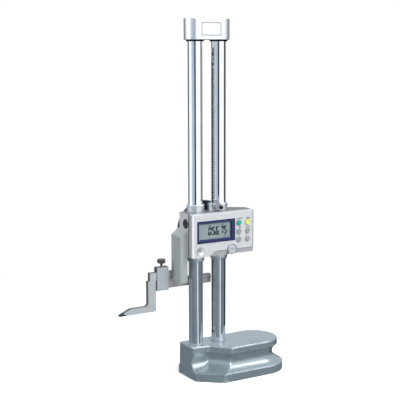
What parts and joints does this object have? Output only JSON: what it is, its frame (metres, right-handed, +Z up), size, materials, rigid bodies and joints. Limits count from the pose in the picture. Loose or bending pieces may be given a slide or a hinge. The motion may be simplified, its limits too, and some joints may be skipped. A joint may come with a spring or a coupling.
{
  "type": "height gauge",
  "caption": "Twin-column digital height gauge: cast base with finger groove, slider with display and keys, rear feed wheel on a rack, scriber on a side bar.",
  "frame": {"origin": "on the plane the base stands on, midway between the two columns", "axes": "+Z up along the columns, the display faces -Y, the scriber reaches towards -X"},
  "size_m": [0.2449, 0.0807, 0.4992],
  "materials": {
    "base_paint": "semi-gloss enamel",
    "column_chrome": "ground and hard-chromed",
    "ground_steel": "ground",
    "black_stop": "matt",
    "cap_alloy": "brushed",
    "dark_screws": "black oxide",
    "casting_paint": "satin enamel",
    "bush_steel": "satin",
    "clamp_metal": "satin",
    "soft_brass": "plain",
    "case_plastic": "satin",
    "bezel_navy": "glossy",
    "window_glass": "clear",
    "lcd_grey": "plain",
    "board_green": "plain",
    "sensor_black": "plain",
    "mat_rubber": "matt",
    "key_green": "satin",
    "key_yellow": "satin",
    "key_grey": "satin",
    "hold_pale": "satin",
    "socket_black": "plain",
    "battery_cap_black": "satin",
    "cell_nickel": "plain",
    "plate_alloy": "satin",
    "wheel_navy": "satin enamel",
    "arm_paint": "satin enamel",
    "bar_steel": "ground",
    "box_steel": "satin",
    "thumb_steel": "knurled, blackened",
    "scriber_steel": "ground",
    "carbide": "ground"
  },
  "bodies": {
    "stand": {"base": "base_paint", "column_left": "column_chrome", "column_right": "column_chrome", "rack": "ground_steel", "rack_keeper": "ground_steel", "rack_screws": "dark_screws", "foot_rings": "ground_steel", "stop_rings": "black_stop", "top_cap": "cap_alloy", "cap_screws": "dark_screws", "column_bolts": "dark_screws"},
    "slider": {"slider_casting": "casting_paint", "bush_upper_left": "bush_steel", "bush_upper_right": "bush_steel", "bush_lower_left": "bush_steel", "bush_lower_right": "bush_steel", "clamp_pad": "soft_brass", "display_case": "case_plastic", "display_bezel": "bezel_navy", "display_window": "window_glass", "display_panel": "lcd_grey", "circuit_board": "board_green", "encoder_sensor": "sensor_black", "keypad_mat": "mat_rubber", "case_screws": "dark_screws", "battery_cell": "cell_nickel", "battery_contact": "soft_brass", "probe_socket": "socket_black", "jaw_arm": "arm_paint", "arm_screws": "dark_screws", "jaw_bar": "bar_steel", "bar_screws": "dark_screws", "bearing_front": "soft_brass", "bearing_plate": "plate_alloy", "plate_screws": "dark_screws"},
    "feed_wheel": {"feed_wheel": "wheel_navy", "feed_shaft": "ground_steel", "feed_pinion": "ground_steel", "encoder_disc": "ground_steel", "wheel_screw": "dark_screws"},
    "clamp": {"clamp_lever": "clamp_metal", "clamp_screw": "clamp_metal"},
    "battery_cap": {"battery_cap": "battery_cap_black"},
    "key_top_left": {"key_top_left": "key_green"},
    "key_top_right": {"key_top_right": "key_yellow"},
    "key_middle_left": {"key_middle_left": "key_grey"},
    "key_middle_right": {"key_middle_right": "key_grey"},
    "key_bottom_left": {"key_bottom_left": "key_grey"},
    "key_bottom_right": {"key_bottom_right": "key_grey"},
    "hold_key": {"hold_key": "hold_pale"},
    "scriber_clamp": {"clamp_box": "box_steel", "box_set_screw": "dark_screws"},
    "thumb_screw": {"thumb_screw": "thumb_steel"},
    "scriber": {"scriber": "scriber_steel", "carbide_tip": "carbide"}
  },
  "joints": [
    {"name": "slider_travel", "type": "slide", "parent": "stand", "child": "slider", "axis": [0, 0, 1], "range_m": [-0.08, 0.22]},
    {"name": "feed_wheel_turn", "type": "hinge", "parent": "slider", "child": "feed_wheel", "pos_m": [0.00385, 0, 0.207], "axis": [0, 1, 0], "range_deg": [-730, 2005]},
    {"name": "clamp_turn", "type": "hinge", "parent": "slider", "child": "clamp", "pos_m": [0.0187, 0, 0.2414], "axis": [-0.3746, -0.9272, 0], "range_deg": [-35, 55]},
    {"name": "battery_cap_turn", "type": "hinge", "parent": "slider", "child": "battery_cap", "pos_m": [-0.0396, -0.0086, 0.2211], "axis": [-1, 0, 0], "range_deg": [0, 90]},
    {"name": "key_top_left_press", "type": "slide", "parent": "slider", "child": "key_top_left", "axis": [0, 1, 0], "range_m": [0, 0.0007], "stiffness_N_per_m": 300},
    {"name": "key_top_right_press", "type": "slide", "parent": "slider", "child": "key_top_right", "axis": [0, 1, 0], "range_m": [0, 0.0007], "stiffness_N_per_m": 300},
    {"name": "key_middle_left_press", "type": "slide", "parent": "slider", "child": "key_middle_left", "axis": [0, 1, 0], "range_m": [0, 0.0007], "stiffness_N_per_m": 300},
    {"name": "key_middle_right_press", "type": "slide", "parent": "slider", "child": "key_middle_right", "axis": [0, 1, 0], "range_m": [0, 0.0007], "stiffness_N_per_m": 300},
    {"name": "key_bottom_left_press", "type": "slide", "parent": "slider", "child": "key_bottom_left", "axis": [0, 1, 0], "range_m": [0, 0.0007], "stiffness_N_per_m": 300},
    {"name": "key_bottom_right_press", "type": "slide", "parent": "slider", "child": "key_bottom_right", "axis": [0, 1, 0], "range_m": [0, 0.0007], "stiffness_N_per_m": 300},
    {"name": "hold_key_press", "type": "slide", "parent": "slider", "child": "hold_key", "axis": [0, 1, 0], "range_m": [0, 0.0007], "stiffness_N_per_m": 300},
    {"name": "scriber_clamp_slide", "type": "slide", "parent": "slider", "child": "scriber_clamp", "axis": [1, 0, 0], "range_m": [-0.01, 0.001]},
    {"name": "thumb_screw_turn", "type": "hinge", "parent": "scriber_clamp", "child": "thumb_screw", "pos_m": [-0.06585, 0.01378, 0.16], "axis": [0, 0, 1], "range_deg": [0, 270]},
    {"name": "scriber_slide", "type": "slide", "parent": "scriber_clamp", "child": "scriber", "axis": [-1, 0, 0], "range_m": [0, 0.006]}
  ],
  "couplings": [
    {"joint": "feed_wheel_turn", "follows": "slider_travel", "rad_per_m": 158.73}
  ]
}
